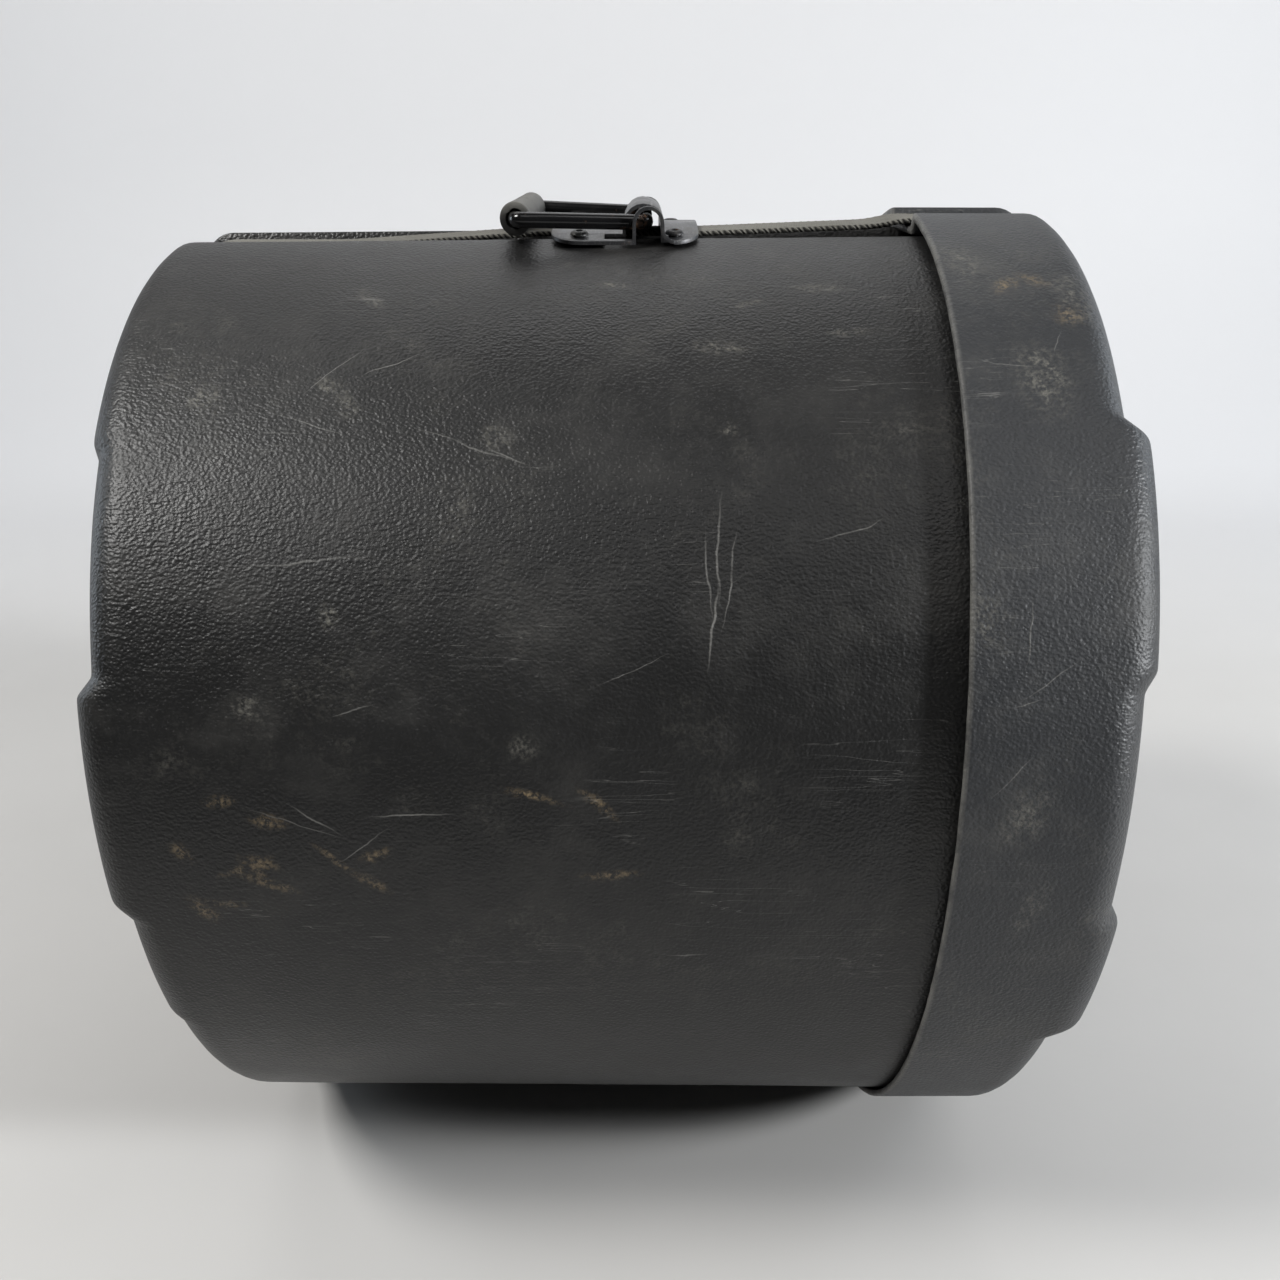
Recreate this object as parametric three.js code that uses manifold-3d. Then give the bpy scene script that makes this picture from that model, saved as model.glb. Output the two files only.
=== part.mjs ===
// Hard-shell tom case lying on its side: X runs from the closed base (-X) to the lid (+X),
// Y runs across and Z is up, with the carrying handle on top. Millimetres.
// Every height inside the assembly is measured from the axis of the case.
import * as THREE from 'three';
import { mergeVertices } from 'three/addons/utils/BufferGeometryUtils.js';
import Module from 'manifold-3d';

const wasm = await Module();
wasm.setup();

// Driving dimensions
const wall = 3.6;
const gap = 0.3;
const mouthRadius = 229.6;
const draft = 0.0072;
const rimX = 134;
const mouthX = 184;
const baseFace = 203;
const lidRadius = 235.7;
const lidFace = 200.6;
const lidLift = 2;
const edgeFillet = 16;

// Stacking feet round both ends: [from, to, height] in degrees, 0 towards -Y and 90 on top
const footInner = 148;
const footSlope = 6;
const flank = 1;
const baseFeet = [[47, 133, 3.2], [-3, 22, 6.6], [158, 183, 6.6], [200, 245, -3], [295, 340, -3]];
const lidFeet = [
  [22, 47, 9], [133, 158, 9], [-3, 22, 4.4], [158, 183, 4.4], [-20, -3, 9], [183, 200, 9],
  [200, 245, -2], [295, 340, -2], [245, 295, 4],
];
const columnStep = 5;

// How far the cutting solids run past the shells
const outside = 260;
const openEnd = 10;

// Strap and the moulded channel it lies in
const strapWidth = 38;
const strapThick = 2.4;
const strapRest = 0.4;
const channelHalf = 28;
const channelRadius = 219.8;
const lidChannelHalf = 23.5;
const lidChannelRadius = 228.8;
const faceChannel = 5;
const channelFillet = 10;

// Handle
const plateLeft = -28.4;
const plateRight = 37.5;
const plateHalf = 47;
const plateThick = 1.5;
const plateTop = 231.6;
const plateBend = 205;
const plateCorner = 13;
const hingeX = 14;
const hingeZ = 233.1;
const tunnelLeft = 3.5;
const tunnelRight = 22;
const tunnelTop = 240.4;
const stripLeft = 8;
const stripTop = 239.8;
const stripFlare = 4.5;
const legHalf = 39;
const slotInner = 36.2;
const slotOuter = 43.9;
const wireDiameter = 6.35;
const gripLength = 93;
const gripDiameter = 13.6;
const gripBore = 7.4;
const gripX = -43.2;
const gripZ = 234.9;
const bailHalf = 52;

// Rivets and washers
const rivetShank = 2.4;
const rivetHole = 2.75;
const rivetHead = 4.1;
const rivetTail = 3.7;
const washerRadius = 6;
const washerThick = 1.5;
const plateRivetX = [-15.6, 26.6];
const plateRivetY = 38.6;
const faceRivetZ = 60;

// Side-release buckle in the bottom run of the strap
const buckleHalf = 25;
const buckleTop = -221;
const buckleBottom = -231.2;
const buckleSkin = 2.2;
const bodyStart = 58;
const bodyEnd = 104;
const bodyBlock = 74;
const insertStart = 104.3;
const insertEnd = 122;
const tongueHalf = 5;
const prongInner = 14;
const prongOuter = 24.4;
const prongStart = 78;
const pocketStart = 50;
const pocketEnd = 131;
const pocketHalf = 42;

// Foam pads, by the distance of their front from the middle of the case
const padRadius = 208;
const basePadFront = 182;
const lidPadFront = 183.7;
const padRelief = 5;

const degrees = Math.PI / 180;
const lidRoof = Math.sqrt(lidRadius ** 2 - lidChannelHalf ** 2);
const axisHeight = lidRoof - lidLift;
const highest = (feet) => Math.max(...feet.map(([, , height]) => height));
const lowest = (feet) => Math.min(0, ...feet.map(([, , height]) => height));
const endShift = (baseFace + highest(baseFeet) - lidFace - highest(lidFeet)) / 2;

function paint(color, roughness, metalness) {
  return new THREE.MeshStandardMaterial({ color, roughness, metalness });
}

const looks = {
  shell: () => paint(0x2b2c2d, 0.55, 0),
  foam: () => paint(0x3a3a3c, 0.95, 0),
  webbing: () => paint(0x8a877e, 0.9, 0),
  buckle: () => paint(0x161617, 0.4, 0),
  bracket: () => paint(0x55575a, 0.45, 0.8),
  wire: () => paint(0x1b1b1d, 0.3, 0.6),
  grip: () => paint(0x6c6b66, 0.7, 0),
  rivet: () => paint(0x3c3c3e, 0.45, 0.9),
};

// Solids
function solid(geometry) {
  geometry.deleteAttribute('normal');
  geometry.deleteAttribute('uv');
  const merged = mergeVertices(geometry, 1e-4);
  const vertProperties = new Float32Array(merged.attributes.position.array);
  const triVerts = new Uint32Array(merged.index.array);
  return new wasm.Manifold(new wasm.Mesh({ numProp: 3, vertProperties, triVerts }));
}

function meshOf(name, body, material) {
  const cut = body.getMesh();
  const geometry = new THREE.BufferGeometry();
  geometry.setAttribute('position', new THREE.BufferAttribute(new Float32Array(cut.vertProperties), 3));
  geometry.setIndex(new THREE.BufferAttribute(new Uint32Array(cut.triVerts), 1));
  geometry.computeVertexNormals();
  const mesh = new THREE.Mesh(geometry, material);
  mesh.name = name;
  return mesh;
}

function outline(points) {
  return new THREE.Shape(points.map(([a, b]) => new THREE.Vector2(a, b)));
}

function prism(points, depth, basis, origin) {
  const geometry = new THREE.ExtrudeGeometry(outline(points), { depth, bevelEnabled: false });
  geometry.applyMatrix4(new THREE.Matrix4().makeBasis(...basis));
  geometry.translate(...origin);
  return solid(geometry);
}

const unitX = new THREE.Vector3(1, 0, 0);
const unitY = new THREE.Vector3(0, 1, 0);
const unitZ = new THREE.Vector3(0, 0, 1);
const backY = new THREE.Vector3(0, -1, 0);

const prismX = (yz, x0, x1) => prism(yz, x1 - x0, [unitY, unitZ, unitX], [x0, 0, 0]);
const prismY = (xz, y0, y1) => prism(xz, y1 - y0, [unitX, unitZ, backY], [0, y1, 0]);
const prismZ = (xy, z0, z1) => prism(xy, z1 - z0, [unitX, unitY, unitZ], [0, 0, z0]);

function rectangle(a0, a1, b0, b1) {
  return [[a0, b0], [a1, b0], [a1, b1], [a0, b1]];
}

function block(x0, x1, y0, y1, z0, z1) {
  return prismZ(rectangle(x0, x1, y0, y1), z0, z1);
}

function arc(a, b, radius, from, to, steps) {
  const points = [];
  for (let i = 0; i <= steps; i += 1) {
    const angle = (from + (to - from) * i / steps) * degrees;
    points.push([a + radius * Math.cos(angle), b + radius * Math.sin(angle)]);
  }
  return points;
}

function roundedRectangle(a0, a1, b0, b1, radius, steps) {
  return [
    ...arc(a1 - radius, b1 - radius, radius, 0, 90, steps),
    ...arc(a0 + radius, b1 - radius, radius, 90, 180, steps),
    ...arc(a0 + radius, b0 + radius, radius, 180, 270, steps),
    ...arc(a1 - radius, b0 + radius, radius, 270, 360, steps),
  ];
}

// A profile of [radius, height] points turned about the local Y axis of the matrix
function turned(profile, segments, matrix) {
  const points = profile.map(([radius, height]) => new THREE.Vector2(radius, height));
  const geometry = new THREE.LatheGeometry(points, segments);
  geometry.applyMatrix4(matrix);
  return solid(geometry);
}

const wrap = (angle) => ((angle % 360) + 360) % 360;

function levelAt(feet, angle) {
  const here = feet.filter(([from, to]) => wrap(angle - from) < to - from);
  return here.reduce((sum, [, , height]) => sum + height, 0);
}

// Columns of the shell: a pair at each change of level and even steps between them
function shellColumns(feet) {
  const changes = new Set(feet.flatMap(([from, to]) => [wrap(from), wrap(to)]));
  const edges = [...changes].sort((a, b) => a - b);
  return edges.flatMap((edge, i) => {
    const from = edge + flank;
    const span = wrap(edges[(i + 1) % edges.length] - flank - from);
    const steps = Math.ceil(span / columnStep);
    const level = levelAt(feet, from);
    return Array.from({ length: steps + 1 }, (_, k) => ({ angle: from + span * k / steps, level }));
  });
}

// One closed barrel with feet round its end face; inset shrinks it by a wall thickness
function barrel({ end, face, feet, radiusAt, open }, inset) {
  const columns = shellColumns(feet);
  const fillet = edgeFillet - inset;
  const flat = end * (face - inset);
  const positions = [flat, 0, 0, open, 0, 0];
  const rows = [];
  for (const { angle, level } of columns) {
    const top = flat + end * level;
    const hub = top - end * fillet;
    const radius = radiusAt(hub) - inset;
    const profile = [[flat, footInner], [top, footInner + footSlope]];
    for (const turn of [0, 30, 60, 90]) {
      const x = hub + end * fillet * Math.cos(turn * degrees);
      profile.push([x, radius - fillet + fillet * Math.sin(turn * degrees)]);
    }
    profile.push([open, radiusAt(open) - inset]);
    const first = positions.length / 3;
    for (const [x, r] of profile) {
      positions.push(x, -r * Math.cos(angle * degrees), r * Math.sin(angle * degrees));
    }
    rows.push({ first, count: profile.length });
  }
  const index = [];
  const face3 = (a, b, c) => index.push(...(end > 0 ? [a, b, c] : [a, c, b]));
  rows.forEach(({ first, count }, i) => {
    const next = rows[(i + 1) % rows.length].first;
    face3(0, next, first);
    for (let k = 0; k < count - 1; k += 1) {
      face3(first + k, next + k, first + k + 1);
      face3(next + k, next + k + 1, first + k + 1);
    }
    face3(1, first + count - 1, next + count - 1);
  });
  const geometry = new THREE.BufferGeometry();
  geometry.setAttribute('position', new THREE.Float32BufferAttribute(positions, 3));
  geometry.setIndex(index);
  return solid(geometry);
}

// Everything outside the floor of a strap channel that runs over the top, down the end and back below
function channel(end, open, floor, inset) {
  const fillet = channelFillet - inset;
  const radius = floor.radius - inset;
  const corner = radius - fillet;
  const hub = end * (floor.face - inset - fillet);
  const turn = end > 0 ? [90, 0, -90] : [90, 180, 270];
  const inner = [
    ...arc(hub, corner, fillet, turn[0], turn[1], 4),
    ...arc(hub, -corner, fillet, turn[1], turn[2], 4),
  ];
  const points = [
    [open, outside], [end * outside, outside], [end * outside, -outside], [open, -outside],
    [open, -radius], ...inner.reverse(), [open, radius],
  ];
  return prismY(points, -floor.half - inset, floor.half + inset);
}

const baseRadiusAt = (x) => mouthRadius - draft * (mouthX - x);
const lidRadiusAt = () => lidRadius;

// Rivet lines: each one is a matrix whose local Y points outwards from the shell surface
function plateRivetLine(x, side) {
  const radius = baseRadiusAt(x);
  const tilt = Math.asin(side * plateRivetY / radius);
  const matrix = new THREE.Matrix4().makeRotationX(Math.PI / 2 - tilt);
  return matrix.setPosition(x, side * plateRivetY, radius * Math.cos(tilt));
}

function faceRivetLine(end, x, z) {
  return new THREE.Matrix4().makeRotationZ(-end * Math.PI / 2).setPosition(end * x, 0, z);
}

const drillReach = 30;
const drillProfile = [[0, -drillReach], [rivetHole, -drillReach], [rivetHole, drillReach], [0, drillReach]];
const drill = (line) => turned(drillProfile, 16, line);

function rivet(line, headBase, headHeight, tailTop) {
  const head = headBase + headHeight;
  const tailEnd = tailTop - 2.2;
  const profile = [
    [0, tailEnd], [rivetTail - 0.8, tailEnd], [rivetTail, tailTop], [rivetShank, tailTop],
    [rivetShank, headBase], [rivetHead, headBase], [rivetHead - 1, head],
    [1.5, head], [1.5, head - 1], [0, head - 1],
  ];
  return turned(profile, 16, line);
}

function washer(line, top) {
  const bottom = top - washerThick;
  const profile = [[rivetHole, bottom], [washerRadius, bottom], [washerRadius, top], [rivetHole, top]];
  return turned([...profile, profile[0]], 20, line);
}

const plateLines = plateRivetX.flatMap((x) => [-1, 1].map((side) => plateRivetLine(x, side)));
const baseFloorX = baseFace - faceChannel;
const lidFloorX = lidFace - faceChannel;
const baseChannel = { radius: channelRadius, face: baseFloorX, half: channelHalf };
const lidChannel = { radius: lidChannelRadius, face: lidFloorX, half: lidChannelHalf };
const baseLines = [-1, 1].map((side) => faceRivetLine(-1, baseFloorX, side * faceRivetZ));
const lidLines = [-1, 1].map((side) => faceRivetLine(1, lidFloorX, side * faceRivetZ));

function drilled(body, lines) {
  return lines.reduce((left, line) => left.subtract(drill(line)), body);
}

// Base shell: castellated drum with the strap channel and a pocket for the buckle pressed into it
function baseShell() {
  const spec = { end: -1, face: baseFace, feet: baseFeet, radiusAt: baseRadiusAt };
  const pocket = (inset) => block(pocketStart - inset, pocketEnd + inset, -pocketHalf - inset,
    pocketHalf + inset, -outside, inset - channelRadius);
  const outerCut = channel(-1, outside, baseChannel, 0).add(pocket(0));
  const rib = channel(-1, outside, baseChannel, wall).add(pocket(wall));
  const skin = barrel({ ...spec, open: mouthX }, 0).subtract(outerCut);
  const hollow = barrel({ ...spec, open: mouthX + openEnd }, wall).subtract(rib);
  return drilled(skin.subtract(hollow), [...plateLines, ...baseLines]);
}

// Lid shell, modelled about its own axis
function lidShell() {
  const spec = { end: 1, face: lidFace, feet: lidFeet, radiusAt: lidRadiusAt };
  const outerCut = channel(1, -outside, lidChannel, 0);
  const rib = channel(1, -outside, lidChannel, wall);
  const skin = barrel({ ...spec, open: rimX }, 0).subtract(outerCut);
  const hollow = barrel({ ...spec, open: rimX - openEnd }, wall).subtract(rib);
  return drilled(skin.subtract(hollow), lidLines);
}

// Foam discs, relieved over the moulded rib and the rivet tails behind the end faces
function foamPad(end, face, feet, front, half) {
  const back = face + lowest(feet) - wall - gap;
  const relief = face - faceChannel - wall - padRelief;
  const disc = [[0, 0], [padRadius, 0], [padRadius, back - front], [0, back - front]];
  const turn = new THREE.Matrix4().makeRotationZ(end * Math.PI / 2).setPosition(end * back, 0, 0);
  const groove = [end * relief, end * outside].sort((a, b) => a - b);
  const reach = half + wall + 1;
  return turned(disc, 64, turn).subtract(block(...groove, -reach, reach, -outside, outside));
}

// Webbing: a band that follows a centre line in the XZ plane
function ribbon(points) {
  const offset = (side) => points.map(([x, z], i) => {
    const [xa, za] = points[Math.max(i - 1, 0)];
    const [xb, zb] = points[Math.min(i + 1, points.length - 1)];
    const length = Math.hypot(xb - xa, zb - za);
    const shift = side * strapThick / 2;
    return [x - shift * (zb - za) / length, z + shift * (xb - xa) / length];
  });
  return prismY([...offset(-1), ...offset(1).reverse()], -strapWidth / 2, strapWidth / 2);
}

const strapLift = strapRest + strapThick / 2;
const strapSplit = plateRight + 2;
const strapUnderPlate = 227.3;
const strapRun = channelRadius + strapLift;
const lidStrapRun = lidChannelRadius + strapLift;

function baseStrap() {
  const radius = channelFillet + strapLift;
  const hub = -(baseFloorX - channelFillet);
  const corner = channelRadius - channelFillet;
  const points = [
    [strapSplit, strapUnderPlate], [plateLeft - 6, strapUnderPlate], [-130, strapRun],
    ...arc(hub, corner, radius, 90, 180, 6),
    ...arc(hub, -corner, radius, 180, 270, 6),
    [bodyBlock - 6, -strapRun],
  ];
  return drilled(ribbon(points), baseLines);
}

function lidStrap() {
  const radius = channelFillet + strapLift;
  const hub = lidFloorX - channelFillet;
  const corner = lidChannelRadius - channelFillet;
  const points = [
    [strapSplit + gap, strapUnderPlate - lidLift], [rimX - 2, lidStrapRun + 0.6],
    [rimX + 10, lidStrapRun],
    ...arc(hub, corner, radius, 90, 0, 6),
    ...arc(hub, -corner, radius, 0, -90, 6),
    [insertStart + 8, -lidStrapRun],
  ];
  return drilled(ribbon(points), lidLines);
}

// Stamped bracket: a bent plate over the strap with a hinge tunnel pressed up across it
function plateHeight(y) {
  return plateTop - plateBend + Math.sqrt(plateBend ** 2 - y ** 2);
}

function bentBand(top, thick, x0, x1) {
  const steps = 16;
  const over = [];
  const under = [];
  for (let i = 0; i <= steps; i += 1) {
    const y = plateHalf * (2 * i / steps - 1);
    over.push([y, plateHeight(y) + top]);
    under.unshift([y, plateHeight(y) + top - thick]);
  }
  return prismX([...under.reverse(), ...over.reverse()], x0, x1);
}

function archProfile(left, right, top, inset, flare = 0, foot = 0) {
  const half = (right - left) / 2 - inset;
  const middle = (left + right) / 2;
  const spring = top - inset - half;
  const below = plateTop - 40;
  const sweep = flare > 0 ? arc(right + flare, foot + flare, flare + inset, 270, 180, 6) : [];
  const start = flare > 0 ? right + flare : middle + half;
  return [[start, below], ...sweep, ...arc(middle, spring, half, 0, 180, 10), [middle - half, below]];
}

// The outer strips of the tunnel, which run out onto the plate in a curve
function edgeStrips(inset, reach) {
  const foot = plateHeight((slotOuter + plateHalf) / 2);
  const shape = archProfile(stripLeft, tunnelRight, stripTop, inset, stripFlare, foot);
  return prismY(shape, -reach, -slotOuter).add(prismY(shape, slotOuter, reach));
}

function handleBracket() {
  const sheet = plateThick;
  const main = slotInner + 0.4;
  const low = plateTop - 30;
  const high = plateTop + 30;
  const corners = roundedRectangle(plateLeft, plateRight, -plateHalf, plateHalf, plateCorner, 6);
  const flat = bentBand(0, sheet, plateLeft, plateRight).intersect(prismZ(corners, low, high));
  const above = bentBand(30, 30 + sheet, plateLeft, plateRight);
  const tunnel = prismY(archProfile(tunnelLeft, tunnelRight, tunnelTop, 0), -main, main);
  const strips = prismY(archProfile(stripLeft, tunnelRight, stripTop, 0), -plateHalf, plateHalf);
  const inside = prismY(archProfile(tunnelLeft, tunnelRight, tunnelTop, sheet), -main, main);
  const bore = archProfile(stripLeft, tunnelRight, stripTop, sheet);
  const through = prismY(bore, -plateHalf - 1, plateHalf + 1).add(edgeStrips(sheet, plateHalf + 1));
  const slots = [[-slotOuter, -slotInner], [slotInner, slotOuter]]
    .map(([y0, y1]) => block(tunnelLeft - 8, tunnelRight - sheet, y0, y1, low, high));
  const pressed = tunnel.add(strips).add(edgeStrips(0, plateHalf)).intersect(above);
  const open = slots.reduce((left, slot) => left.subtract(slot), flat.add(pressed).subtract(inside));
  return drilled(open.subtract(through), plateLines);
}

// Wire bail: one bent rod with its ends turned inwards into the tunnel
function bailPath() {
  const bend = 5;
  const inner = 24;
  const slope = (gripZ - hingeZ) / (gripX - hingeX);
  const heightAt = (x) => hingeZ + (x - hingeX) * slope;
  const corner = (x, y, toX, toY, backX, backY) => {
    const start = new THREE.Vector3(x + backX * bend, y + backY * bend, heightAt(x + backX * bend));
    const tip = new THREE.Vector3(x, y, heightAt(x));
    const finish = new THREE.Vector3(x + toX * bend, y + toY * bend, heightAt(x + toX * bend));
    return new THREE.QuadraticBezierCurve3(start, tip, finish);
  };
  const run = Math.hypot(hingeX - gripX, bailHalf - legHalf);
  const alongX = (gripX - hingeX) / run;
  const alongY = (bailHalf - legHalf) / run;
  const bends = [
    corner(hingeX, -legHalf, alongX, -alongY, 0, 1),
    corner(gripX, -bailHalf, 0, 1, -alongX, alongY),
    corner(gripX, bailHalf, -alongX, -alongY, 0, -1),
    corner(hingeX, legHalf, 0, -1, alongX, alongY),
  ];
  const path = new THREE.CurvePath();
  let last = new THREE.Vector3(hingeX, -inner, hingeZ);
  for (const bendCurve of bends) {
    path.add(new THREE.LineCurve3(last, bendCurve.v0));
    path.add(bendCurve);
    last = bendCurve.v2;
  }
  path.add(new THREE.LineCurve3(last, new THREE.Vector3(hingeX, inner, hingeZ)));
  return path;
}

function bailWire() {
  const section = new THREE.Shape();
  section.absarc(0, 0, wireDiameter / 2, 0, Math.PI * 2, false);
  const extrudePath = bailPath();
  const geometry = new THREE.ExtrudeGeometry(section, { extrudePath, steps: 72, curveSegments: 10 });
  return solid(geometry);
}

function handleGrip() {
  const half = gripLength / 2;
  const edge = 1;
  const outer = gripDiameter / 2;
  const bore = gripBore / 2;
  const profile = [
    [bore, -half], [outer - edge, -half], [outer, edge - half],
    [outer, half - edge], [outer - edge, half], [bore, half], [bore, -half],
  ];
  const place = new THREE.Matrix4().setPosition(gripX, 0, gripZ);
  return turned(profile, 28, place);
}

// Buckle
function buckleBlock(x0, x1) {
  return prismZ(roundedRectangle(x0, x1, -buckleHalf, buckleHalf, 3, 3), buckleBottom, buckleTop);
}

function buckleBody() {
  const outer = buckleBlock(bodyStart, bodyEnd);
  const mouth = block(bodyBlock, bodyEnd + 1, -buckleHalf - 1, buckleHalf + 1,
    buckleBottom + buckleSkin, buckleTop - buckleSkin);
  const notch = block(bodyStart - 1, bodyBlock - 6 + gap, -strapWidth / 2 - gap, strapWidth / 2 + gap,
    -strapRun - strapThick / 2 - gap, buckleTop + 1);
  return outer.subtract(mouth).subtract(notch);
}

const tongueTop = buckleTop - buckleSkin - gap;
const tongueBottom = buckleBottom + buckleSkin + gap;

function buckleInsert() {
  const bar = buckleBlock(insertStart, insertEnd);
  const tongue = block(bodyBlock + 3, insertStart + 1, -tongueHalf, tongueHalf, tongueBottom, tongueTop);
  const slotTop = lidLift - lidStrapRun + strapThick / 2 + gap;
  const notch = block(insertStart + 8 - gap, insertEnd + 1, -strapWidth / 2 - gap, strapWidth / 2 + gap,
    buckleBottom - 1, slotTop);
  return bar.subtract(notch).add(tongue);
}

function buckleProng(side) {
  const shape = [
    [prongStart, prongInner + 4], [prongStart + 3, prongOuter], [prongStart + 18, prongOuter],
    [insertStart - gap, prongOuter - 4], [insertStart - gap, prongInner], [prongStart + 4, prongInner],
  ].map(([x, y]) => [x, side * y]);
  return prismZ(side > 0 ? shape.reverse() : shape, tongueBottom, tongueTop);
}

// Assembly
const tomCase = new THREE.Group();
tomCase.position.set(endShift, 0, axisHeight);
const lid = new THREE.Group();
lid.position.z = lidLift;
tomCase.add(lid);

const basePad = foamPad(-1, baseFace, baseFeet, basePadFront, channelHalf);
const lidPad = foamPad(1, lidFace, lidFeet, lidPadFront, lidChannelHalf);
tomCase.add(meshOf('base_shell', baseShell(), looks.shell()));
tomCase.add(meshOf('base_foam_pad', basePad, looks.foam()));
tomCase.add(meshOf('base_strap', baseStrap(), looks.webbing()));
tomCase.add(meshOf('handle_bracket', handleBracket(), looks.bracket()));
tomCase.add(meshOf('bail_wire', bailWire(), looks.wire()));
tomCase.add(meshOf('handle_grip', handleGrip(), looks.grip()));
tomCase.add(meshOf('buckle_body', buckleBody(), looks.buckle()));
tomCase.add(meshOf('buckle_insert', buckleInsert(), looks.buckle()));
tomCase.add(meshOf('buckle_prong_near', buckleProng(-1), looks.buckle()));
tomCase.add(meshOf('buckle_prong_far', buckleProng(1), looks.buckle()));

lid.add(meshOf('lid_shell', lidShell(), looks.shell()));
lid.add(meshOf('lid_foam_pad', lidPad, looks.foam()));
lid.add(meshOf('lid_strap', lidStrap(), looks.webbing()));

const plateStack = 3.6;
const strapStack = strapLift + strapThick / 2 + gap;
const washerTop = -wall - gap;
const tailTop = washerTop - washerThick - gap;

plateLines.forEach((line, i) => {
  tomCase.add(meshOf(`bracket_rivet_${i + 1}`, rivet(line, plateStack, 1.6, tailTop), looks.rivet()));
  tomCase.add(meshOf(`bracket_washer_${i + 1}`, washer(line, washerTop), looks.rivet()));
});
for (const [owner, name, lines] of [[tomCase, 'base_strap', baseLines], [lid, 'lid_strap', lidLines]]) {
  lines.forEach((line, i) => {
    owner.add(meshOf(`${name}_rivet_${i + 1}`, rivet(line, strapStack, 1.6, tailTop), looks.rivet()));
    owner.add(meshOf(`${name}_washer_${i + 1}`, washer(line, washerTop), looks.rivet()));
  });
}

export default tomCase;
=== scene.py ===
"""Looks of the tom case: fine moulded shells, handle, webbing, foam and their materials."""

import math
import random

import bmesh
import bpy
from mathutils import Matrix, Vector, noise


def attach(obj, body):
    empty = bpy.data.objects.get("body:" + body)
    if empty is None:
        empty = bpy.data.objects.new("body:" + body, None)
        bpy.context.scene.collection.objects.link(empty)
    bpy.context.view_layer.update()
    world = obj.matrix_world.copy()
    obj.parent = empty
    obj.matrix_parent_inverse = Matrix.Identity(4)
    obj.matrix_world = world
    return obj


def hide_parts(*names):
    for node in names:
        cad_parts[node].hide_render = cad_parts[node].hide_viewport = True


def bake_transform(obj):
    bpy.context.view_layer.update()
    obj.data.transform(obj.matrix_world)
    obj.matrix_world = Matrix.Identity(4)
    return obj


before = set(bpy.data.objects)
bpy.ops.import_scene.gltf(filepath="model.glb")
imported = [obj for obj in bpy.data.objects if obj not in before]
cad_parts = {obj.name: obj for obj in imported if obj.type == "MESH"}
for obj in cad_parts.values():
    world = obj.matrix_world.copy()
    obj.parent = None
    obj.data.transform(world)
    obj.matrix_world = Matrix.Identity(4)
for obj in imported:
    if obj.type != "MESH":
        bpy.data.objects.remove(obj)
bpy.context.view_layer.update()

# Driving dimensions, in millimetres, heights from the axis of the case. Feet are (from, to, height), with
# degrees round the end, 0 towards -Y and 90 on top
MM = 0.001
WALL = 3.6
MOUTH_RADIUS = 229.6
DRAFT = 0.0072
RIM_X = 134
MOUTH_X = 184
BASE_FACE = 203
LID_RADIUS = 235.7
LID_FACE = 200.6
LID_LIFT = 2
EDGE_FILLET = 16
FOOT_INNER = 148
FOOT_SLOPE = 6
FLANK = 1
BASE_FEET = [(47, 133, 3.2), (-3, 22, 6.6), (158, 183, 6.6), (200, 245, -3), (295, 340, -3)]
LID_FEET = [
    (22, 47, 9), (133, 158, 9), (-3, 22, 4.4), (158, 183, 4.4), (-20, -3, 9), (183, 200, 9),
    (200, 245, -2), (295, 340, -2), (245, 295, 4),
]
CHANNEL_HALF = 28
CHANNEL_RADIUS = 219.8
LID_CHANNEL_HALF = 23.5
LID_CHANNEL_RADIUS = 228.8
FACE_CHANNEL = 5
CHANNEL_FILLET = 10
SHOULDER = 1.2
DISC = 146
STRAP_WIDTH = 38
STRAP_THICK = 2.4
STRAP_LIFT = 0.4 + STRAP_THICK / 2
PLATE_LEFT = -28.4
PLATE_RIGHT = 37.5
STRAP_UNDER_PLATE = 227.3
HINGE = (14, 233.1)
GRIP = (-43.2, 234.9)
LEG_HALF = 39
BAIL_HALF = 52
WIRE = 6.35
GRIP_LENGTH = 93
GRIP_DIAMETER = 13.6
GRIP_BORE = 7.4
PLATE_RIVETS = [(x, side) for x in (-15.6, 26.6) for side in (-1, 1)]
PLATE_RIVET_Y = 38.6
FACE_RIVET_Z = 60
# Pocket for the buckle under the base: from x, to x and half its width
POCKET = (50, 131, 42)
BARREL_END = 24
WALL_RADIUS = 230
AXIS = math.sqrt(LID_RADIUS ** 2 - LID_CHANNEL_HALF ** 2) - LID_LIFT
BASE_HIGHEST = max(height for start, stop, height in BASE_FEET)
LID_HIGHEST = max(height for start, stop, height in LID_FEET)
END_SHIFT = (BASE_FACE + BASE_HIGHEST - LID_FACE - LID_HIGHEST) / 2


def row(x, y, z):
    """A point of the case, in millimetres from its axis, as a point of the row frame."""
    return Vector((x + END_SHIFT, y, z + AXIS)) * MM


def ramp(a, soft=0.25):
    """0 below -1 and 1 above 1, straight between, with rounded corners."""
    return 0.5 + 0.25 * (math.hypot(a + 1, soft) - math.hypot(a - 1, soft))


def mix(a, b, t):
    return a + (b - a) * t


def smooth(t):
    t = min(max(t, 0), 1)
    return t * t * (3 - 2 * t)


# Mesh helpers
def piece(name, mesh, body, material, replaces=()):
    obj = bpy.data.objects.new(name, mesh)
    bpy.context.scene.collection.objects.link(obj)
    mesh.materials.append(material)
    if body:
        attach(obj, body)
    if replaces:
        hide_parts(*replaces)
    return obj


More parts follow.
